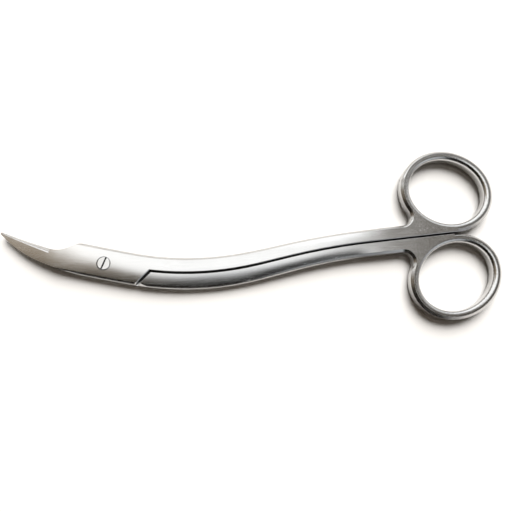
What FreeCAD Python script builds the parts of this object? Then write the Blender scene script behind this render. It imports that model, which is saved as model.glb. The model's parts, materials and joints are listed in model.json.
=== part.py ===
import FreeCAD, Part
import Sketcher
import math
import os

V = FreeCAD.Vector
UP = V(0, 0, 1)

doc = FreeCAD.newDocument("suture_scissors")

# Driving dimensions, in millimetres and degrees. The drawing has the pivot at its origin, the
# rings towards +X and the lap plane at Z = 0. The closed pair is one long oval bar that follows
# a mid-line; it is parted along that line by the shank gap, and at the joint by the lap.
SIZES = {
    "thickness": 4.4,            # both halves together
    "lap_gap": 0.06,             # running clearance between the lap faces
    "shank_gap": 0.56,           # daylight between the closed shanks
    "joint_half_width": 5.05,    # mid-line to outer edge, over the joint
    "ring_end_half_width": 4.3,  # mid-line to outer edge, where the rings begin
    "taper_start": 25.0,         # the shanks narrow from here, along the mid-line
    "pivot_drop": 0.17,          # the pivot lies this far below the mid-line
    "lead_fall": 10.9,           # fall of the mid-line past the pivot
    "lead_length": 7.6,          # straight run from the pivot to the first bend
    "first_radius": 98.0,
    "first_turn": 24.8,
    "middle_length": 10.7,       # straight run between the two bends
    "second_radius": 200.0,
    "second_turn": 7.4,
    "shoulder_reach": 15.6,      # pivot to the lap shoulder, along the mid-line
    "shoulder_angle": 51.0,      # between the shoulder and the mid-line
    "shoulder_gap": 0.8,         # room in front of the shoulder
    "tip_reach": 34.0,           # pivot to blade tip
    "tip_rise": 10.15,
    "tip_width": 0.7,
    "tip_nose": 0.28,            # how far the rounded tip stands out
    "tip_slant": 60.0,           # direction of the blunted end of the tip
    "tip_thickness": 0.5,        # one blade, at its tip
    "notch_thickness": 1.5,      # one blade, where its cutting edge begins
    "thinning_start": 5.0,       # pivot to where the blade begins to thin
    "corner_reach": 8.6,         # pivot to the corner behind the notch
    "corner_radius": 2.2,
    "corner_turn": 36.0,
    "corner_run": 3.0,
    "notch_radius": 8.5,
    "notch_turn": 42.0,
    "back_reach": 4.0,           # pivot to where the convex edge leaves the bar
    "back_radius": 80.0,
    "back_turn": 12.5,
    "bevel_width": 0.55,         # ground bevel beside each cutting edge
    "bevel_land": 0.15,          # flat left under the bevel
    "joint_crown": 0.6,          # fall of the top face at the outer edge, over the joint
    "shank_crown": 1.0,          # the same, over the shanks
    "upper_ring_station": 27.2,  # end of the second bend to the middle of the ring
    "lower_ring_station": 25.8,
    "ring_long": 13.7,           # half axes of the ring bar's centre line
    "ring_short": 12.0,
    "ring_tilt": 26.7,           # lean of the long axis towards the other ring
    "ring_bar": 2.74,            # width of the bar in plan
    "web_radius": 3.2,           # hollow between shank and ring
    "outer_bevel": 0.8,          # bevel along the outer edges
    "hole_round": 1.2,           # rounding inside the finger ring
    "gap_break": 0.2,            # small break along the gap
    "screw_head": 4.4,
    "screw_head_height": 1.0,
    "screw_shank": 2.8,
    "screw_sink": 0.08,          # top of the head below the top of the joint
    "screw_fit": 0.05,           # radial running clearance round the screw
    "thread_fit": 0.01,          # radial clearance of the thread in the lower half
    "slot_width": 0.55,
    "slot_depth": 0.6,
    "slot_angle": 68.0,
}

sheet = doc.addObject("Spreadsheet::Sheet", "sizes")
for row, (name, value) in enumerate(SIZES.items(), start=1):
    sheet.set("A%d" % row, name)
    sheet.set("B%d" % row, str(value))
    sheet.setAlias("B%d" % row, name)
doc.recompute()


def size(name):
    return float(getattr(sheet, name))


# Working values that follow from the sheet.
HALF = size("thickness") / 2
LEAD = -size("lead_fall")
MARGIN = 60.0        # how far the cutting forms run past the object
FINE = 0.01          # finest facets, for measuring the finished shapes
EASE = 0.05          # a cutting profile starts this far outside the bar's edge
CLEAR = 0.5          # a grinding wedge starts this far outside the cutting edge
PAST_TIP = 4.0       # the thinning runs on past the tip
NEAR = 0.01          # an edge this close to a plan curve lies over it
TINY = 1e-9          # lengths below this are nothing
STEPS = 12           # points along a curve beside the mid-line
BLANK_REACH = size("tip_reach") + size("ring_short")

# The crown, along the bar: share of the bent length, the size that gives its fall, and the part
# of that fall. The last rows are level, so the rings and their webs stand on a flat.
CROWN_ROWS = [
    (-1.6, "joint_crown", 1),
    (-0.7, "joint_crown", 1),
    (0.05, "joint_crown", 1),
    (0.16, "joint_crown", 1.25),
    (0.3, "shank_crown", 1),
    (0.6, "shank_crown", 1),
    (0.9, "shank_crown", 1),
    (1.0, "shank_crown", 0.45),
    (1.05, "shank_crown", 0),
    (1.09, "shank_crown", 0),
    (1.13, "shank_crown", 0),
]
# The crown, across the bar: distance from the mid-line in half widths, and the part of the fall.
CROWN_ARCH = [(0, 0), (0.5, 0.22), (1, 1.05), (1.6, 1.9), (9, 1.9)]
DEGREE = 3


def heading(angle):
    return V(math.cos(math.radians(angle)), math.sin(math.radians(angle)), 0)


class Pen:
    """Draws a chain of tangent lines and arcs in the plan."""

    def __init__(self, point, angle):
        self.point = point
        self.angle = angle
        self.curves = []

    def line(self, length):
        end = self.point + heading(self.angle) * length
        self.curves.append(Part.LineSegment(self.point, end))
        self.point = end

    def arc(self, radius, turn):
        side = math.copysign(90, turn)
        centre = self.point + heading(self.angle + side) * radius
        spoke = self.point - centre
        middle = centre + FreeCAD.Rotation(UP, turn / 2).multVec(spoke)
        end = centre + FreeCAD.Rotation(UP, turn).multVec(spoke)
        self.curves.append(Part.ArcOfCircle(self.point, middle, end))
        self.point = end
        self.angle += turn

    def arc_to(self, end):
        chord = end - self.point
        bend = math.degrees(math.atan2(chord.y, chord.x)) - self.angle
        bend = (bend + 180) % 360 - 180
        self.arc(chord.Length / 2 / abs(math.sin(math.radians(bend))), 2 * bend)


# The mid-line: a straight lead, two bends with a straight between them, and the straight shanks.
MIDLINE_START = V(0, size("pivot_drop") / math.cos(math.radians(LEAD)), 0)
FIRST_BEND = math.radians(size("first_turn")) * size("first_radius")
SECOND_BEND = math.radians(size("second_turn")) * size("second_radius")
RUNS = [
    (size("lead_length"), None, 0),
    (FIRST_BEND, size("first_radius"), size("first_turn")),
    (size("middle_length"), None, 0),
    (SECOND_BEND, size("second_radius"), -size("second_turn")),
]
BENDS_END = sum(run[0] for run in RUNS)


def station(distance):
    """Point and heading of the mid-line at a distance from the pivot."""
    if distance <= 0:
        return MIDLINE_START + heading(LEAD) * distance, LEAD
    pen = Pen(MIDLINE_START, LEAD)
    for length, radius, turn in RUNS:
        step = min(length, distance)
        if step > TINY and radius is None:
            pen.line(step)
        elif step > TINY:
            pen.arc(radius, turn * step / length)
        distance -= step
    return pen.point + heading(pen.angle) * distance, pen.angle


def half_width(distance):
    """Mid-line to outer edge: an easy taper from the joint to the rings."""
    along = (distance - size("taper_start")) / (BENDS_END - size("taper_start"))
    along = min(max(along, 0), 1)
    ease = along * along * (3 - 2 * along)
    change = size("ring_end_half_width") - size("joint_half_width")
    return size("joint_half_width") + change * ease


def beside(distance, side, width=None):
    """Point beside the mid-line, by default on the bar's outer edge."""
    point, angle = station(distance)
    width = half_width(distance) if width is None else width
    return point + heading(angle + 90) * (side * width)


def edge_curve(side, first, last, width=None):
    """Smooth curve beside the mid-line, through evenly spread points."""
    points = []
    for k in range(STEPS + 1):
        points.append(beside(first + (last - first) * k / STEPS, side, width))
    curve = Part.BSplineCurve()
    start = heading(station(first)[1])
    end = heading(station(last)[1])
    curve.interpolate(Points=points, InitialTangent=start, FinalTangent=end)
    return curve


class Ring:
    """Plan of one finger ring, beside the straight end of the shanks."""

    def __init__(self, side, reach):
        self.side = side
        self.reach = BENDS_END + reach
        self.tilt = math.radians(size("ring_tilt"))
        bar = size("ring_bar") / 2
        self.outer = size("ring_long") + bar, size("ring_short") + bar
        self.inner = size("ring_long") - bar, size("ring_short") - bar
        drop = math.hypot(self.outer[0] * math.sin(self.tilt), self.outer[1] * math.cos(self.tilt))
        self.offset = drop + size("shank_gap") / 2
        point, self.angle = station(self.reach)
        self.centre = point + heading(self.angle + 90) * (side * self.offset)

    def local(self, turn, axes, grow=0):
        """Point of the ellipse, from its middle, along the mid-line and away from it."""
        x, y = axes[0] * math.cos(turn), axes[1] * math.sin(turn)
        nx, ny = axes[1] * math.cos(turn), axes[0] * math.sin(turn)
        x += grow * nx / math.hypot(nx, ny)
        y += grow * ny / math.hypot(nx, ny)
        cosine, sine = math.cos(self.tilt), math.sin(self.tilt)
        return x * cosine + y * sine, y * cosine - x * sine

    def world(self, local):
        away = heading(self.angle + 90) * (self.side * local[1])
        return self.centre + heading(self.angle) * local[0] + away

    def ellipse(self, axes):
        first = self.world(self.local(0, axes))
        second = self.world(self.local(math.pi / 2, axes))
        return Part.Ellipse(first, second, self.centre)

    def contact(self):
        """Turn at which the ring comes nearest to the mid-line."""
        return math.atan2(-self.outer[1] * math.cos(self.tilt), self.outer[0] * math.sin(self.tilt))

    def web(self):
        """The hollow that joins the shank's outer edge to the ring."""
        radius = size("web_radius")
        level = radius + size("ring_end_half_width") - self.offset
        low, high = math.pi, 1.5 * math.pi + self.tilt
        while high - low > 1e-12:
            turn = (low + high) / 2
            if self.local(turn, self.outer, radius)[1] > level:
                low = turn
            else:
                high = turn
        centre = self.local(low, self.outer, radius)
        touch = self.local(low, self.outer)
        foot = centre[0], centre[1] - radius
        x, y = (touch[0] + foot[0]) / 2 - centre[0], (touch[1] + foot[1]) / 2 - centre[1]
        reach = radius / math.hypot(x, y)
        middle = centre[0] + x * reach, centre[1] + y * reach
        curve = Part.ArcOfCircle(self.world(foot), self.world(middle), self.world(touch))
        return low, self.reach + foot[0], curve

    def arc(self, first, last):
        whole = self.ellipse(self.outer)
        turns = [whole.parameter(self.world(self.local(t, self.outer)))
                 for t in (first, (first + last) / 2, last)]
        start, end = min(turns[0], turns[2]), max(turns[0], turns[2])
        if not start < turns[1] < end:
            start, end = end, start + 2 * math.pi
        return Part.ArcOfEllipse(whole, start, end)


def sketch(name, curves):
    drawing = doc.addObject("Sketcher::SketchObject", name)
    drawing.addGeometry(curves, False)
    return drawing


def prism(name, drawing, depth, reverse=None):
    """Extrude a drawing up and down by lengths given as expressions of the sheet."""
    solid = doc.addObject("Part::Extrusion", name)
    solid.Base = drawing
    solid.DirMode = "Normal"
    solid.Solid = True
    solid.setExpression("LengthFwd", depth)
    solid.setExpression("LengthRev", reverse or depth)
    return solid


def cut(name, base, tool):
    result = doc.addObject("Part::Cut", name)
    result.Base = base
    result.Tool = tool
    return result


def common(name, shapes):
    result = doc.addObject("Part::MultiCommon", name)
    result.Shapes = shapes
    return result


def feature(name, shape):
    result = doc.addObject("Part::Feature", name)
    result.Shape = shape
    return result


def polygon(points):
    return [Part.LineSegment(a, b) for a, b in zip(points, points[1:] + points[:1])]


def edges_over(shape, curve, top):
    """Numbers of the edges that lie over a plan curve, on the top or the underside."""
    line = curve.toShape()
    found = []
    for number, edge in enumerate(shape.Edges, start=1):
        span = edge.LastParameter - edge.FirstParameter
        points = [edge.valueAt(edge.FirstParameter + span * k / 4) for k in (1, 2, 3)]
        chord = points[2] - points[0]
        level = all(p.z * top > size("lap_gap") for p in points)
        near = all(line.distToShape(Part.Vertex(p.x, p.y, 0))[0] < NEAR for p in points)
        if level and near and math.hypot(chord.x, chord.y) > abs(chord.z):
            found.append(number)
    return found


def treat_edges(kind, name, base, curves, by):
    """Bevel or round the upper and lower edges that lie over some plan curves."""
    result = doc.addObject(kind, name)
    result.Base = base
    edges = []
    for top in (1, -1):
        for curve in curves:
            for number in edges_over(base.Shape, curve, top):
                edges.append((number, size(by), size(by)))
    result.Edges = edges
    return result


def crown_form():
    """All that lies under the crowned top: arched across the bar, flat over the rings."""
    arch = [(-w, f) for w, f in CROWN_ARCH[:0:-1]] + CROWN_ARCH
    poles = []
    for share, crown, part in CROWN_ROWS:
        point = station(share * BENDS_END)[0]
        fall = size(crown) * part
        row = []
        for width, drop in arch:
            side = point.y + width * size("joint_half_width")
            row.append(V(point.x, side, HALF - fall * drop))
        poles.append(row)
    knots = []
    repeats = []
    for count in (len(CROWN_ROWS), len(arch)):
        knots.append(list(range(count - DEGREE + 1)))
        repeats.append([DEGREE + 1] + [1] * (count - DEGREE - 1) + [DEGREE + 1])
    surface = Part.BSplineSurface()
    surface.buildFromPolesMultsKnots(poles, repeats[0], repeats[1], knots[0], knots[1],
                                     False, False, DEGREE, DEGREE)
    depth = 2 * size("thickness")
    arched = surface.toShape().extrude(V(0, 0, -depth))
    corner = V(poles[-1][0].x, -2 * MARGIN, HALF - depth)
    return arched.fuse(Part.makeBox(2 * MARGIN, 4 * MARGIN, depth, corner))


crown_top = feature("crown_top", crown_form())
crown_bottom = feature("crown_bottom", crown_top.Shape.mirror(V(0, 0, 0), UP))

# The blade outline, shared by both halves.
TIP = V(-size("tip_reach"), size("tip_rise"), 0)
TIP_SIDE = heading(size("tip_slant")) * (size("tip_width") / 2)
TIP_NOSE = TIP + heading(size("tip_slant") + 90) * size("tip_nose")
edge_pen = Pen(beside(-size("corner_reach"), 1, half_width(0) + EASE), 180 + LEAD)
edge_pen.arc(size("corner_radius"), size("corner_turn"))
edge_pen.line(size("corner_run"))
edge_pen.arc(size("notch_radius"), -size("notch_turn"))
edge_pen.arc_to(TIP + TIP_SIDE)
back_pen = Pen(beside(-size("back_reach"), -1, half_width(0) + EASE), 180 + LEAD)
back_pen.arc(size("back_radius"), -size("back_turn"))
back_pen.arc_to(TIP - TIP_SIDE)


def blade_keep():
    """Everything inside the blade's outline, and all that lies behind the blade."""
    corner = beside(-size("corner_reach"), 1, half_width(0) + EASE)
    back = beside(-size("back_reach"), -1, half_width(0) + EASE)
    far = BENDS_END + MARGIN
    frame = [corner, V(corner.x, MARGIN, 0), V(far, MARGIN, 0), V(far, -MARGIN, 0),
             V(back.x, -MARGIN, 0), back]
    lines = [Part.LineSegment(a, b) for a, b in zip(frame, frame[1:])]
    nose = Part.ArcOfCircle(TIP + TIP_SIDE, TIP_NOSE, TIP - TIP_SIDE)
    return lines + edge_pen.curves + [nose] + back_pen.curves


def thinning(top):
    """All that lies outside the blade's flat, which thins from the joint to the tip."""
    start = V(-size("thinning_start"), 0, top * HALF)
    notch = V(edge_pen.curves[2].EndPoint.x, 0, top * size("notch_thickness"))
    tip = V(-size("tip_reach"), 0, top * size("tip_thickness"))
    flat = Part.BSplineCurve()
    flat.interpolate(Points=[start, notch, tip], InitialTangent=V(-1, 0, 0),
                     FinalTangent=(tip - notch).normalize())
    past = tip + (tip - notch).normalize() * PAST_TIP
    above = top * size("thickness")
    rest = [tip, past, V(past.x, 0, above), V(start.x, 0, above), start]
    lines = [Part.LineSegment(a, b).toShape() for a, b in zip(rest, rest[1:])]
    face = Part.Face(Part.Wire(Part.__sortEdges__([flat.toShape()] + lines)))
    face.translate(V(0, -MARGIN, 0))
    return face.extrude(V(0, 2 * MARGIN, 0))


def bevel(curve, top, inward):
    """A wedge swung along a cutting edge, from near the lap face out to the blade's flat."""
    centre = curve.Center
    spoke = (curve.StartPoint - centre).normalize()
    radius = curve.Radius
    land = V(0, 0, top * (size("lap_gap") / 2 + size("bevel_land")))
    reach = size("notch_thickness")
    slope = size("bevel_width") / size("tip_thickness")
    rim = centre + spoke * radius
    inner = rim - spoke * (inward * reach * slope)
    out = rim + spoke * (inward * CLEAR)
    lift = V(0, 0, top * reach)
    points = [rim + land, inner + land + lift, out + land + lift, out + land]
    wedge = Part.Face(Part.makePolygon(points + points[:1]))
    end = curve.EndPoint - centre
    turn = math.degrees(math.atan2(spoke.cross(end).z, spoke.dot(end)))
    return wedge.revolve(centre, UP, turn)


def half_blank(name, side, ring):
    """The whole bar with one ring, crowned and rounded, before it is parted."""
    touch, foot, web = ring.web()
    contact = ring.contact()
    nearest = ring.local(contact, ring.outer)
    contact_reach = ring.reach + nearest[0]
    outer = edge_curve(side, -BLANK_REACH, foot)
    other = edge_curve(-side, -BLANK_REACH, contact_reach)
    arc = ring.arc(touch, contact)
    end = Part.LineSegment(outer.StartPoint, other.StartPoint)
    drop = Part.LineSegment(other.EndPoint, ring.world(nearest))
    hole = ring.ellipse(ring.inner)
    drawing = sketch(name + "_outline", [outer, web, arc, drop, other, end, hole])
    bar = prism(name + "_bar", drawing, "sizes.thickness")
    crowned = common(name + "_crowned", [bar, crown_top, crown_bottom])
    doc.recompute()
    bevelled = treat_edges("Part::Chamfer", name + "_bevelled", crowned,
                           (outer, web, arc, other), "outer_bevel")
    doc.recompute()
    rounded = treat_edges("Part::Fillet", name + "_rounded", bevelled, [hole], "hole_round")
    return rounded, contact_reach


def shoulder_line(side, reach):
    """Point on the mid-line and direction of a shoulder that runs back towards one side."""
    point, angle = station(reach)
    return point, heading(angle + 180 - side * size("shoulder_angle"))


def far_side(side, contact_reach):
    """Plan of the part of the bar that belongs to the other half, behind this half's plate."""
    slant = math.radians(size("shoulder_angle"))
    reach = size("shoulder_reach") - size("shoulder_gap") / math.sin(slant)
    point, along = shoulder_line(-side, reach)
    gap = size("shank_gap") / 2
    start_reach = reach + gap / math.tan(slant)
    inner = edge_curve(side, start_reach, contact_reach, gap)
    angle = station(contact_reach)[1]
    beyond = inner.EndPoint + heading(angle) * MARGIN
    frame = [inner.EndPoint, beyond, beyond + heading(angle - 90 * side) * MARGIN,
             point + along * MARGIN, inner.StartPoint]
    lines = [Part.LineSegment(a, b) for a, b in zip(frame, frame[1:])]
    return [inner] + lines, inner, lines[-1]


def under_lap(side):
    """Plan of the joint and the blade, ahead of this half's own shoulder."""
    point, along = shoulder_line(side, size("shoulder_reach"))
    ahead = V(-2 * MARGIN, 0, 0)
    corners = [point + along * MARGIN, point - along * MARGIN]
    return polygon([corners[0], corners[1], corners[1] + ahead, corners[0] + ahead])


def make_half(name, side, reach):
    ring = Ring(side, size(reach))
    blank, contact_reach = half_blank(name, side, ring)
    far_curves, inner, plate_end = far_side(side, contact_reach)
    far_tool = prism(name + "_other_half", sketch(name + "_gap", far_curves), "sizes.thickness")
    parted = cut(name + "_parted", blank, far_tool)
    depth = "sizes.thickness"
    lap_curves = under_lap(side)
    lap_plan = sketch(name + "_lap_plan", lap_curves)
    if side > 0:
        lap_tool = prism(name + "_lap", lap_plan, "sizes.lap_gap / 2", depth)
    else:
        lap_tool = prism(name + "_lap", lap_plan, depth, "sizes.lap_gap / 2")
    lapped = cut(name + "_lapped", parted, lap_tool)
    keep = prism(name + "_blade_form", sketch(name + "_blade_plan", blade_keep()), depth)
    shaped = common(name + "_shaped", [lapped, keep])
    thinned = cut(name + "_thinned", shaped, feature(name + "_thinning", thinning(side)))
    if side > 0:
        wedge = bevel(edge_pen.curves[-1], side, -1)
    else:
        wedge = bevel(back_pen.curves[-1], side, 1)
    ground = cut(name + "_ground", thinned, feature(name + "_bevel", wedge))
    return ground, [inner, plate_end, lap_curves[0]]


def cylinder(name, radius, height, base):
    tool = doc.addObject("Part::Cylinder", name)
    tool.setExpression("Radius", radius)
    tool.setExpression("Height", height)
    tool.setExpression("Placement.Base.z", base)
    return tool


upper, upper_breaks = make_half("upper", 1, "upper_ring_station")
lower, lower_breaks = make_half("lower", -1, "lower_ring_station")

# The pivot holes: a counterbore and a running hole above, the threaded hole below.
running = cylinder("running_hole", "sizes.screw_shank / 2 + sizes.screw_fit",
                   "sizes.thickness", "-sizes.thickness / 2")
seat = cylinder("head_seat", "sizes.screw_head / 2 + sizes.screw_fit", "sizes.thickness",
                "sizes.thickness / 2 - sizes.screw_sink - sizes.screw_head_height - sizes.screw_fit")
bored = cut("upper_bored", upper, running)
seated = cut("upper_seated", bored, seat)
thread = cylinder("thread_hole", "sizes.screw_shank / 2 + sizes.thread_fit",
                  "sizes.thickness * 2", "-sizes.thickness")
threaded = cut("lower_threaded", lower, thread)
doc.recompute()


upper_half = treat_edges("Part::Chamfer", "upper_half", seated, upper_breaks, "gap_break")
lower_half = treat_edges("Part::Chamfer", "lower_half", threaded, lower_breaks, "gap_break")


def plane(body, role):
    for item in body.Origin.OriginFeatures:
        if item.Role == role:
            return item
    raise ValueError(role)


def make_screw():
    """Slotted screw: a flat head sunk in the upper half and a shank threaded into the lower."""
    body = doc.addObject("PartDesign::Body", "pivot_screw")
    profile = body.newObject("Sketcher::SketchObject", "screw_profile")
    profile.AttachmentSupport = [(plane(body, "XZ_Plane"), "")]
    profile.MapMode = "FlatFace"
    top = HALF - size("screw_sink")
    under = top - size("screw_head_height")
    head = size("screw_head") / 2
    shank = size("screw_shank") / 2
    foot = -HALF + size("screw_sink")
    corners = [V(0, foot, 0), V(shank, foot, 0), V(shank, under, 0), V(head, under, 0),
               V(head, top, 0), V(0, top, 0)]
    profile.addGeometry(polygon(corners), False)
    for k in range(len(corners)):
        following = (k + 1) % len(corners)
        profile.addConstraint(Sketcher.Constraint("Coincident", k, 2, following, 1))
    doc.recompute()
    turned = body.newObject("PartDesign::Revolution", "screw_turned")
    turned.Profile = profile
    turned.ReferenceAxis = (profile, ["V_Axis"])
    turned.Angle = 360
    doc.recompute()
    slot = body.newObject("Sketcher::SketchObject", "screw_slot_plan")
    slot.AttachmentSupport = [(plane(body, "XY_Plane"), "")]
    slot.MapMode = "FlatFace"
    slot.setExpression("AttachmentOffset.Base.z", "sizes.thickness / 2")
    along = heading(size("slot_angle")) * size("screw_head")
    across = heading(size("slot_angle") + 90) * (size("slot_width") / 2)
    corners = [along + across, across - along, V() - along - across, along - across]
    slot.addGeometry(polygon(corners), False)
    cut_slot = body.newObject("PartDesign::Pocket", "screw_slot")
    cut_slot.Profile = slot
    cut_slot.setExpression("Length", "sizes.screw_sink + sizes.slot_depth")
    doc.recompute()
    if cut_slot.Shape.Volume >= turned.Shape.Volume:
        raise RuntimeError("the screw slot cuts nothing")
    return body


screw = make_screw()
doc.recompute()

NODES = {"upper_half": upper_half, "lower_half": lower_half, "pivot_screw": screw}

# The part stands with its middle over the origin and its underside at Z = 0.
POINTS = [p for node in NODES.values() for p in node.Shape.tessellate(FINE)[0]]
spans = [(min(values), max(values)) for values in zip(*[(p.x, p.y) for p in POINTS])]
shift = V(-sum(spans[0]) / 2, -sum(spans[1]) / 2, HALF)
print("pivot at", shift)
for label, node in NODES.items():
    node.Label = label
    node.Placement = FreeCAD.Placement(shift, FreeCAD.Rotation())

for item in doc.Objects:
    if "Invalid" in item.State or "Error" in item.State:
        raise RuntimeError("failed: " + item.Name)

os.makedirs("parts", exist_ok=True)
for label, node in NODES.items():
    shape = node.Shape
    if shape.isNull() or not shape.isValid() or len(shape.Solids) != 1:
        raise RuntimeError("bad shape: %s %d" % (label, len(shape.Solids)))
    print(label, "volume", round(shape.Volume, 2), "faces", len(shape.Faces))
    shape.exportStep("parts/%s.step" % label)
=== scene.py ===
import json
import math

import bmesh
import bpy
import numpy as np
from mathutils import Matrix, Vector

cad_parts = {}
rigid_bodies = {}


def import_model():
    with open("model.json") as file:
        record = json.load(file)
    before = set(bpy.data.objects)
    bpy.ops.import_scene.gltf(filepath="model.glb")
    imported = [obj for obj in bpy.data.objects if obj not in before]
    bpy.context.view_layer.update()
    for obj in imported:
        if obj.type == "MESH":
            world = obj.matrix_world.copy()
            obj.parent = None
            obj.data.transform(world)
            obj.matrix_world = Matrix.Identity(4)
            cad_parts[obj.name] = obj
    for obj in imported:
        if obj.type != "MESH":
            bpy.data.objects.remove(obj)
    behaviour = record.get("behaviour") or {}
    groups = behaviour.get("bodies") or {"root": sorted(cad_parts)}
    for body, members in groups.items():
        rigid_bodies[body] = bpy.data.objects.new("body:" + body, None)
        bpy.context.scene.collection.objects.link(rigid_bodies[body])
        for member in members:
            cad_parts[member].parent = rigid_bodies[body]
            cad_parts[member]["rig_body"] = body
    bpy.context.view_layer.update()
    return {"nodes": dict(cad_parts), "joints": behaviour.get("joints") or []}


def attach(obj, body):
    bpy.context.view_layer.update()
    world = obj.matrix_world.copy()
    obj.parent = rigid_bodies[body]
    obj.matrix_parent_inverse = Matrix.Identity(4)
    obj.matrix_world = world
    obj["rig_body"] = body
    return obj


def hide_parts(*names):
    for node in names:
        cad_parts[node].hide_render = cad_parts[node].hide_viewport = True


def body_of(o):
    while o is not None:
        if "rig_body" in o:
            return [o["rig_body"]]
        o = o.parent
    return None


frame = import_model()

MM = 0.001
TO_MM = 1000.0
MERGE = 0.002 * MM                  # corners nearer than this are one corner
PIVOT = Vector(frame["joints"][0]["pos_m"])
UPRIGHT = Vector((0, 0, 1))
LEVEL = 0.9999                      # a face is level where its normal's height is above this

# The broad faces, whose normals are fitted.
BROAD = 15 * MM * MM                # the least area of one
UPWARD = 0.85                       # the least mean height of its normals
FIT_REACH = 3.0                     # millimetres round a corner that its fitted patch takes in,
FIT_CORNERS = 14                    # or further where there are fewer neighbours than this

# Stretches along +X over which the broad faces change, in metres.
BLADE_LEVELS = (-0.0710, -0.0605)   # the blade's flat turns level towards the joint
JOINT_RISES = (-0.0605, -0.0500)    # the joint's faces start level at the blade
CROWN_GROWS = (-0.0050, 0.0250)     # the crown of the shanks gets fuller
WEB_LEVELS = (0.0340, 0.0474)       # and turns level towards the webs
WEB_START = 0.050                   # the level webs and rings lie beyond this
CROWN_GAIN = 0.6                    # how much fuller the crown gets

# The roll of the blade's flat.
ROLL = 0.034                        # slope gained in each millimetre off the middle line
BLADE_SLANT = 0.26                  # slope of that middle line
BLADE_DROP = 0.5 * MM               # how far from the pivot it passes, towards -Y

# The softened edges.
BEVEL_LIMIT = 0.45                  # cosine of the widest turn between a bevel and its neighbour
BEVEL_SHARE = 0.9                   # weight of a neighbour's normal in a bevel's own
FAR_SIDE = 0.2                      # a bevel that leans this far to +Y takes in every neighbour
STRIP = 0.42 * MM                   # width of the strip inside the edge of a ring's level face
MID_HEIGHT = 2.2 * MM               # half the thickness of the steel
OUTER = 2 * MM                      # a level face further than this from mid-height is outside

# The screw, measured from the pivot and from the top of the head.
HEAD_EDGE = 2.1 * MM                # the edge of the head lies outside this radius
HEAD_RIM = 0.3 * MM                 # width of its rounded rim
STEEP = 0.5                         # a wall's normal is lower than this
FLAT_TOP = 0.999                    # a flat face's normal is at least this high
SLOT_REACH = 1.9 * MM               # the slot's sides and floor lie within this radius
SLOT_DEPTHS = (0.05 * MM, 0.7 * MM)     # and between these depths below the top
SAME_PLANE = math.radians(0.5)
CREASE = math.radians(40)           # edges that turn more than this stay sharp

# The satin finish: places in millimetres from the pivot, and how fine its grain is.
SHANK_SPAN = (-20.0, 110.0)         # over this stretch the shanks, and their grain,
SHANK_BEND = (-4.0, 4.0)            # bend sideways by this much
RING_SPAN = (92.0, 104.0)           # and here the drawn grain turns even
GRAIN_ALONG, GRAIN_ACROSS = 0.16, 2.4
EVEN_SCALE, CLOUD_SCALE = 2600.0, 160.0
GRAIN_GLOSS, CLOUD_GLOSS = 0.14, 0.05
GRAIN_TINT, CLOUD_TINT = 0.6, 0.4
TINT_SPAN = (0.35, 0.65)            # the steel goes from worn to bright between these
WORN = 0.94                         # brightness where it is worn
GRAIN_DEPTH = 0.01 * MM
GAP_REACH = 1.8 * MM                # how far round itself the steel looks for open air, for its painted shade
GAP_SPAN = (0.22, 0.6)              # shares of it between which the painted shade runs from dark to none
TINY = 1e-20                        # stands for nought where a sum divides by it

# Colours, as red, green, blue and alpha.
FORGED = (0.66, 0.655, 0.645, 1)
TURNED = (0.70, 0.695, 0.685, 1)
# Near-black painted shade for the screw's slot
PAINTED_SLOT_SHADE = (0.04, 0.038, 0.035, 1)
# Near-black painted shade for the gaps and recesses of the steel
PAINTED_GAP_SHADE = (0.03, 0.028, 0.025, 1)
TABLE_WHITE = (0.92, 0.92, 0.92, 1)
WHITE = (1, 1, 1, 1)
BLACK = (0, 0, 0, 1)
WARM = (1.0, 0.83, 0.63, 1)
COOL = (0.96, 1.0, 1.04, 1)
FILL = (1.0, 0.80, 0.60, 1)

# The light and the camera.
PANEL_LIGHT, WINDOW_LIGHT, FRONT_LIGHT, HALO_LIGHT = 1.42, 1.3, 0.6, 0.4
GLOW_LIGHT, DIM_LIGHT, FILL_LIGHT = 0.24, 0.22, 0.08
CORNER_SHARE = 0.4                  # of the front light, in the far right corner
LOWEST = 0.05                       # directions lower than this meet the ceiling as if at it
KEY_LIGHT = 4.8
KEY_SPREAD = math.radians(46)
KEY_COLOUR = (1.0, 0.975, 0.94)
KEY_FROM = Vector((0.22, 0.86, 1.0))
TABLE_REACH = 6.0
PICTURE = 512                       # side of the picture, in pixels
FOCAL = 430                         # focal length, in pixels of the picture
SHIFT = 44                          # how far the picture is shifted up, in pixels
SENSOR = 36                         # millimetres
CAMERA_PLACE = (0.002217, -0.03672, 0.13919)
CAMERA_TILT = (0.112, 0, 0)


class Amount:
    """A number in a shader, which can be used in Python sums."""

    def __init__(self, finish, socket):
        self.finish = finish
        self.socket = socket

    def join(self, operation, first, second):
        """One sum of two amounts or plain numbers."""
        settings = {"operation": operation}
        made = self.finish.node("ShaderNodeMath", settings, {0: first, 1: second})
        return Amount(self.finish, made.outputs[0])

    def __add__(self, other):
        return self.join("ADD", self, other)

    def __radd__(self, other):
        return self.join("ADD", other, self)

    def __sub__(self, other):
        return self.join("SUBTRACT", self, other)

    def __rsub__(self, other):
        return self.join("SUBTRACT", other, self)

    def __mul__(self, other):
        return self.join("MULTIPLY", self, other)

    def __rmul__(self, other):
        return self.join("MULTIPLY", other, self)

    def __truediv__(self, other):
        return self.join("DIVIDE", self, other)


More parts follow.
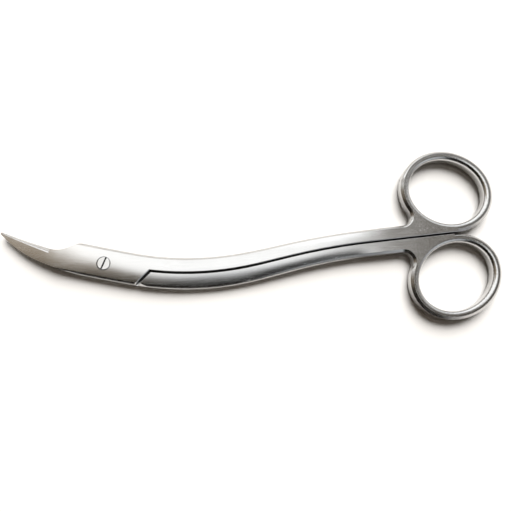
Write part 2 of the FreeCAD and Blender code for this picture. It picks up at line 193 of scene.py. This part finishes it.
class Finish:
    """The nodes of one material, or of the room's light."""

    def __init__(self, owner):
        owner.use_nodes = True
        self.tree = owner.node_tree
        self.tree.nodes.clear()

    def node(self, kind, settings=None, inputs=None):
        """Makes a node, sets its settings, then gives its sockets their values or links."""
        made = self.tree.nodes.new(kind)
        for name, value in (settings or {}).items():
            setattr(made, name, value)
        for name, value in (inputs or {}).items():
            if isinstance(value, Amount):
                value = value.socket
            if isinstance(value, bpy.types.NodeSocket):
                self.tree.links.new(value, made.inputs[name])
            else:
                made.inputs[name].default_value = value
        return made

    def axes(self, vector):
        """The x, y and z of a vector."""
        parts = self.node("ShaderNodeSeparateXYZ", None, {0: vector})
        return [Amount(self, out) for out in parts.outputs]

    def vector(self, x, y, z):
        """The vector of an x, y and z."""
        return self.node("ShaderNodeCombineXYZ", None, {0: x, 1: y, 2: z}).outputs[0]

    def rise(self, value, start, end, low=0.0, high=1.0):
        """Eases from low to high while the value runs from start to end."""
        made = self.node("ShaderNodeMapRange", {"interpolation_type": "SMOOTHSTEP"},
                         {"Value": value, "From Min": start, "From Max": end,
                          "To Min": low, "To Max": high})
        return Amount(self, made.outputs[0])

    def noise(self, vector, scale, detail=2.0):
        """Soft noise from 0 to 1, even on both sides of a half."""
        made = self.node("ShaderNodeTexNoise", None,
                         {"Vector": vector, "Scale": scale, "Detail": detail})
        return Amount(self, made.outputs["Fac"])

    def blend(self, factor, first, second):
        """A colour between two, or brighter than the second where the factor is over 1."""
        made = self.node("ShaderNodeMix", {"data_type": "RGBA", "clamp_factor": False},
                         {"Factor": factor, "A": first, "B": second})
        return made.outputs["Result"]


def satin_steel(name, colour, roughness, streak):
    """Satin stainless steel, drawn lengthwise along the shanks and even over the rings, with
    shade painted dark into its gaps and recesses.
    """
    material = bpy.data.materials.new(name)
    finish = Finish(material)
    place = finish.node("ShaderNodeTexCoord").outputs["Object"]
    x, y, z = finish.axes(place)

    # The drawn grain follows the bend of the shanks and turns even on the rings.
    along = (x - PIVOT.x) * TO_MM
    across = y * TO_MM - finish.rise(along, *SHANK_SPAN, *SHANK_BEND)
    lines = finish.vector(along * GRAIN_ALONG, across * GRAIN_ACROSS, z * TO_MM)
    drawn = finish.noise(lines, 1.0, 3.0)
    even = finish.noise(place, EVEN_SCALE)
    on_ring = finish.rise(along, *RING_SPAN)
    grain = drawn * (1 - on_ring) + even * on_ring
    cloud = finish.noise(place, CLOUD_SCALE)

    gloss = roughness + (grain - 0.5) * GRAIN_GLOSS + (cloud - 0.5) * CLOUD_GLOSS
    bump = finish.node("ShaderNodeBump", None,
                       {"Strength": streak, "Distance": GRAIN_DEPTH, "Height": grain})
    worn = [channel * WORN for channel in colour[:3]] + [1]
    bright = finish.rise(cloud * CLOUD_TINT + grain * GRAIN_TINT, *TINT_SPAN)
    tone_and_gap_shade = finish.blend(bright, worn, colour)

    # Painted shade: the steel's colour darkens inside the gaps and recesses, and near the table,
    # where little open air lies round it.
    open_air = finish.node("ShaderNodeAmbientOcclusion", {"samples": 8},
                           {"Distance": GAP_REACH}).outputs["AO"]
    tone_and_gap_shade = finish.blend(finish.rise(open_air, *GAP_SPAN), PAINTED_GAP_SHADE, tone_and_gap_shade)
    surface = finish.node("ShaderNodeBsdfPrincipled", None,
                          {"Base Color": tone_and_gap_shade, "Metallic": 1.0, "Roughness": gloss,
                           "Normal": bump.outputs[0]})
    finish.node("ShaderNodeOutputMaterial", None, {"Surface": surface.outputs[0]})
    return material


def bare_copy(node, piece_name):
    """A copy of a solid's mesh, without the shading it came with."""
    mesh = node.data.copy()
    mesh.name = piece_name
    for spare in ("custom_normal", "sharp_edge", "sharp_face"):
        if spare in mesh.attributes:
            mesh.attributes.remove(mesh.attributes[spare])
    return mesh


def finished(mesh, node, piece_name, materials):
    """Puts a mesh in the scene as the piece that stands for a solid."""
    mesh.materials.clear()
    for material in materials:
        mesh.materials.append(material)
    piece = bpy.data.objects.new(piece_name, mesh)
    bpy.context.scene.collection.objects.link(piece)
    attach(piece, body_of(node)[0])
    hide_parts(node.name)


def patches(triangles, count):
    """Numbers the corners of a loose mesh by the smooth face they belong to."""
    label = np.arange(count)
    while True:
        lowest = label[triangles].min(1)
        spread = label.copy()
        for corner in range(3):
            np.minimum.at(spread, triangles[:, corner], lowest)
        if (spread == label).all():
            return label
        label = spread


def fitted_normals(places, normals):
    """Normals of one broad, gently curved face, from a curved patch fitted round each corner."""
    facing = np.sign(normals[:, 2].mean())
    found = normals.copy()
    for k, place in enumerate(places):
        step = (places - place) / MM
        reach = np.hypot(step[:, 0], step[:, 1])
        last = min(FIT_CORNERS, len(reach) - 1)
        near = max(FIT_REACH, np.partition(reach, last)[last])
        weight = np.exp(-(reach / near) ** 2 * 2)
        x, y, z = step[:, 0], step[:, 1], step[:, 2]
        terms = np.stack([np.ones_like(x), x, y, x * x, x * y, y * y], 1) * weight[:, None]
        answer = np.linalg.lstsq(terms, z * weight, rcond=None)[0]
        normal = np.array([-answer[1], -answer[2], 1.0])
        found[k] = facing * normal / np.linalg.norm(normal)
    return found


def ease(value, start, end):
    """Eases from 0 to 1 while the value runs from start to end."""
    share = np.clip((value - start) / (end - start), 0, 1)
    return share * share * (3 - 2 * share)


def roll(places):
    """Slight roll given to the flat of a blade, growing evenly from its middle line."""
    middle = PIVOT.y + (PIVOT.x - places[:, 0]) * BLADE_SLANT - BLADE_DROP
    return (places[:, 1] - middle) * TO_MM * ROLL


def eased_normals(places, normals):
    """A broad face's normals, levelled and rolled where it meets the next broad face."""
    along = places[:, 0]
    if along.max() > PIVOT.x:
        rolled = 1 - ease(along, *JOINT_RISES)
        level = np.maximum(rolled, ease(along, *WEB_LEVELS))
        normals[:, 1] *= 1 + CROWN_GAIN * ease(along, *CROWN_GROWS)
    else:
        rolled = 1
        level = ease(along, *BLADE_LEVELS)
    normals[:, :2] *= (1 - level)[:, None]
    normals[:, 1] += roll(places) * rolled
    return normals / np.linalg.norm(normals, axis=1)[:, None]


def face_normals(mesh):
    """The corners of a loose mesh, with the normal and number of their smooth face there.

    The numbers of the broad faces come last.
    """
    count = len(mesh.vertices)
    places = np.empty(count * 3)
    mesh.vertices.foreach_get("co", places)
    places = places.reshape(-1, 3)
    triangles = np.array([list(face.vertices) for face in mesh.polygons])
    a, b, c = (places[triangles[:, k]] for k in range(3))
    facets = np.cross(b - a, c - a)
    normals = np.zeros((count, 3))
    for k in range(3):
        np.add.at(normals, triangles[:, k], facets)
    normals /= np.maximum(np.linalg.norm(normals, axis=1), TINY)[:, None]
    label = patches(triangles, count)
    area = np.zeros(count)
    np.add.at(area, label[triangles[:, 0]], np.linalg.norm(facets, axis=1) / 2)
    broad = set()
    for patch in np.unique(label):
        here = np.flatnonzero(label == patch)
        if area[patch] >= BROAD and abs(normals[here, 2]).mean() >= UPWARD:
            broad.add(patch)
            fitted = fitted_normals(places[here], normals[here])
            normals[here] = eased_normals(places[here], fitted)
    return places, normals, label, broad


def spot(place):
    """A place as whole numbers, the same for all corners that will merge there."""
    return tuple(int(round(value / MERGE)) for value in place)


def softened(own, others, broad):
    """The normal of a corner: turned towards the faces it meets over a bevel."""
    found = Vector(own[1])
    if own[0] in broad:
        return found
    for patch, normal in others:
        near = patch in broad or found.y > FAR_SIDE
        if near and patch != own[0] and found.dot(normal) > BEVEL_LIMIT:
            found += Vector(normal) * BEVEL_SHARE
    return found.normalized()


def corner_normal(face, patch, corner, here, broad, on_strip):
    """The shading normal of one corner of a face, from the smooth faces that meet there."""
    if here is None:
        return UPRIGHT * np.sign(face.normal.z) if on_strip else face.normal
    own = next((entry for entry in here if entry[0] == patch), (None, face.normal.copy()))
    upright = [entry for entry in here if abs(entry[1].z) > LEVEL]
    if on_strip and len(upright) > 1:
        return UPRIGHT * np.sign(own[1].z)
    if on_strip:
        return softened((None, own[1]), here, set())
    if corner.x >= WEB_START:
        broad = broad - set(patch for patch, normal in upright)
    return softened(own, here, broad)


def outer_level(face):
    """Whether a face is part of the level top or underside of a ring or web."""
    middle = face.calc_center_median()
    return (abs(face.normal.z) > LEVEL and middle.x > WEB_START
            and abs(middle.z - MID_HEIGHT) > OUTER)


def steel_piece(node_name, piece_name, material):
    """A merged copy of a solid with smooth, softened shading, which stands for it."""
    node = frame["nodes"][node_name]
    mesh = bare_copy(node, piece_name)
    places, normals, label, broad = face_normals(mesh)
    meeting = {}
    for place, patch, normal in zip(places, label, normals):
        meeting.setdefault(spot(place), []).append((patch, Vector(normal)))
    form = bmesh.new()
    form.from_mesh(mesh)
    number = form.faces.layers.int.new("patch")
    for face in form.faces:
        face[number] = int(label[face.verts[0].index])
    bmesh.ops.remove_doubles(form, verts=form.verts, dist=MERGE)
    bmesh.ops.dissolve_degenerate(form, dist=MERGE, edges=form.edges)
    form.normal_update()
    level = [face for face in form.faces if outer_level(face)]
    edging = bmesh.ops.inset_region(form, faces=level, thickness=STRIP,
                                    use_even_offset=True, use_boundary=True)
    strips = set(edging["faces"])
    kept = form.loops.layers.float_vector.new("kept_normal")
    for face in form.faces:
        face.smooth = True
        for loop in face.loops:
            corner = loop.vert.co
            loop[kept] = corner_normal(face, face[number], corner, meeting.get(spot(corner)),
                                       broad, face in strips)
    form.to_mesh(mesh)
    form.free()
    stored = mesh.attributes["kept_normal"]
    mesh.normals_split_custom_set([corner.vector for corner in stored.data])
    mesh.attributes.remove(mesh.attributes["kept_normal"])
    finished(mesh, node, piece_name, [material])


def off_pivot(place):
    """How far a place lies from the pivot's axis."""
    return math.hypot(place.x - PIVOT.x, place.y - PIVOT.y)


def on_head_edge(edge, top):
    """Whether an edge is part of the round edge of the screw's head."""
    level = all(abs(vert.co.z - top) < MERGE for vert in edge.verts)
    walls = [face for face in edge.link_faces if abs(face.normal.z) < STEEP]
    middle = (edge.verts[0].co + edge.verts[1].co) / 2
    return bool(level and walls and off_pivot(middle) > HEAD_EDGE)


def screw_piece(piece_name, material, dark):
    """The slotted screw, with a rounded rim on its head and its slot painted near black as
    shade.
    """
    node = frame["nodes"]["pivot_screw"]
    mesh = bare_copy(node, piece_name)
    form = bmesh.new()
    form.from_mesh(mesh)
    bmesh.ops.remove_doubles(form, verts=form.verts, dist=MERGE)
    bmesh.ops.dissolve_limit(form, angle_limit=SAME_PLANE, verts=form.verts,
                             edges=form.edges)
    top = max(vert.co.z for vert in form.verts)
    edges = [edge for edge in form.edges if on_head_edge(edge, top)]
    bmesh.ops.bevel(form, geom=edges, offset=HEAD_RIM, offset_type="OFFSET", segments=3,
                    profile=0.5, affect="EDGES", clamp_overlap=True, material=-1)
    form.normal_update()
    for face in form.faces:
        face.smooth = abs(face.normal.z) < FLAT_TOP
        middle = face.calc_center_median()
        # Faces sunk into the slot get the second, near-black material: painted shade.
        sunk = SLOT_DEPTHS[0] < top - middle.z < SLOT_DEPTHS[1]
        face.material_index = int(sunk and off_pivot(middle) < SLOT_REACH)
    for edge in form.edges:
        edge.smooth = len(edge.link_faces) == 2 and edge.calc_face_angle() < CREASE
    form.to_mesh(mesh)
    form.free()
    finished(mesh, node, piece_name, [material, dark])


def table_top():
    """The plain white surface the scissors lie on."""
    form = bmesh.new()
    bmesh.ops.create_grid(form, x_segments=1, y_segments=1, size=TABLE_REACH)
    mesh = bpy.data.meshes.new("white_table")
    form.to_mesh(mesh)
    form.free()
    floor = bpy.data.objects.new("white_table", mesh)
    bpy.context.scene.collection.objects.link(floor)
    material = bpy.data.materials.new("white_table")
    finish = Finish(material)
    paper = finish.node("ShaderNodeBsdfDiffuse", None, {"Color": TABLE_WHITE})
    finish.node("ShaderNodeOutputMaterial", None, {"Surface": paper.outputs[0]})
    mesh.materials.append(material)


def room_light():
    """A bright ceiling panel over the shanks, with a warm, dim room round it."""
    world = bpy.data.worlds.new("room")
    bpy.context.scene.world = world
    finish = Finish(world)
    direction = finish.node("ShaderNodeTexCoord").outputs["Generated"]
    x, y, z = finish.axes(direction)

    # Where a direction meets a ceiling one unit up: to the side, and ahead.
    height = z.join("MAXIMUM", z, LOWEST)
    side = x / height
    ahead = y / height
    turn = x / finish.rise(y, -1.0, 1.0, 0.05, 0.9)
    up = finish.rise(z, 0.0, 0.3)

    # Each bright area lies between soft edges. An edge is where the light starts to
    # change and where it has changed, and where it isn't all or nothing, from what to what.

    # The panel, whose left edge slants and whose near edge is bent.
    left, right, near, far = (-0.36, -0.24), (0.31, 0.17), (-0.30, 0.14), (1.0, 0.5)
    bend_left, bend_right = (-0.42, 0.06, -0.06, 0.18), (0.1, 0.3, 0.0, 0.12)
    bent = ahead + finish.rise(side, *bend_left) - finish.rise(side, *bend_right)
    panel = (finish.rise(side + ahead * 0.6, *left) * finish.rise(side, *right)
             * finish.rise(bent, *near) * finish.rise(ahead, *far) * up)

    # A wide window ahead, dimmer on the right and ending on the left.
    left, right, near, low = (-1.5, -0.9), (0.5, 0.0, 0.75, 1.0), (0.5, 1.0), (0.1, 0.35)
    window = (finish.rise(ahead, *near) * finish.rise(turn, *right)
              * finish.rise(turn, *left) * finish.rise(z, *low))

    # A soft front light low on the right, stronger in the corner.
    left, corner, far = (0.24, 0.4), (0.6, 0.75), (-0.15, -0.5)
    front = finish.rise(x, *left) * finish.rise(ahead, *far) * up
    front = front + finish.rise(x, *corner) * CORNER_SHARE * up

    # A halo beyond the panel, whose left edge slants.
    left, right = (0.66, 0.80), (1.0, 0.7)
    halo = finish.rise(side + ahead * 0.5, *left) * finish.rise(side, *right) * up

    # The dim room glows overhead on the left, and fades on the right and in front.
    left, low = (-0.5, -0.25, 1.0, 0.0), (0.5, 0.8)
    glow = finish.rise(side, *left) * finish.rise(z, *low)
    right, near = (0.1, 0.4, 1.0, 0.55), (-0.5, 0.25, 0.03, 1.0)
    dim = ((glow * GLOW_LIGHT + DIM_LIGHT) * finish.rise(side, *right)
           * finish.rise(ahead, *near))
    bright = (panel * PANEL_LIGHT + window * WINDOW_LIGHT
              + front * FRONT_LIGHT + halo * HALO_LIGHT)
    both = finish.node("ShaderNodeVectorMath", {"operation": "ADD"},
                       {0: finish.blend(dim, BLACK, WARM),
                        1: finish.blend(bright, BLACK, COOL)})

    # Reflections show the room, the camera sees white, and all else gets the fill.
    room = finish.node("ShaderNodeBackground", None, {"Color": both.outputs[0]})
    white = finish.node("ShaderNodeBackground", None, {"Color": WHITE})
    fill = finish.node("ShaderNodeBackground", None,
                       {"Color": FILL, "Strength": FILL_LIGHT})
    ray = finish.node("ShaderNodeLightPath")
    mirrored = finish.node("ShaderNodeMixShader", None,
                           {0: ray.outputs["Is Glossy Ray"], 1: fill.outputs[0],
                            2: room.outputs[0]})
    seen = finish.node("ShaderNodeMixShader", None,
                       {0: ray.outputs["Is Camera Ray"], 1: mirrored.outputs[0],
                        2: white.outputs[0]})
    finish.node("ShaderNodeOutputWorld", None, {"Surface": seen.outputs[0]})


def soft_key():
    """A broad sun from beyond the scissors, which casts their soft shadow."""
    light = bpy.data.lights.new("soft_key", "SUN")
    light.energy = KEY_LIGHT
    light.angle = KEY_SPREAD
    light.color = KEY_COLOUR
    lamp = bpy.data.objects.new("soft_key", light)
    bpy.context.scene.collection.objects.link(lamp)
    lamp.rotation_mode = "QUATERNION"
    lamp.rotation_quaternion = KEY_FROM.to_track_quat("Z", "Y")
    lamp.visible_glossy = False


def overhead():
    """The camera, over the scissors and tilted a little, with the picture shifted up."""
    lens = bpy.data.cameras.new("overhead")
    lens.sensor_width = SENSOR
    lens.lens = FOCAL / PICTURE * SENSOR
    lens.shift_y = SHIFT / PICTURE
    lens.clip_start = 0.01
    lens.clip_end = 50
    camera = bpy.data.objects.new("overhead", lens)
    bpy.context.scene.collection.objects.link(camera)
    camera.location = CAMERA_PLACE
    camera.rotation_euler = CAMERA_TILT
    bpy.context.scene.camera = camera


forged = satin_steel("satin_forged_steel", FORGED, roughness=0.24, streak=0.5)
turned = satin_steel("satin_screw_steel", TURNED, roughness=0.22, streak=0.2)
# A near-black steel for the screw's slot: painted shade.
slot_shade_steel = satin_steel("painted_slot_shade", PAINTED_SLOT_SHADE, roughness=0.6, streak=0.1)
for solid in frame["nodes"].values():
    solid.data.materials.clear()
    solid.data.materials.append(forged)

steel_piece("upper_half", "upper_half_satin", forged)
steel_piece("lower_half", "lower_half_satin", forged)
screw_piece("pivot_screw_satin", turned, slot_shade_steel)
table_top()
room_light()
soft_key()
overhead()

bpy.context.scene.view_settings.view_transform = "Standard"
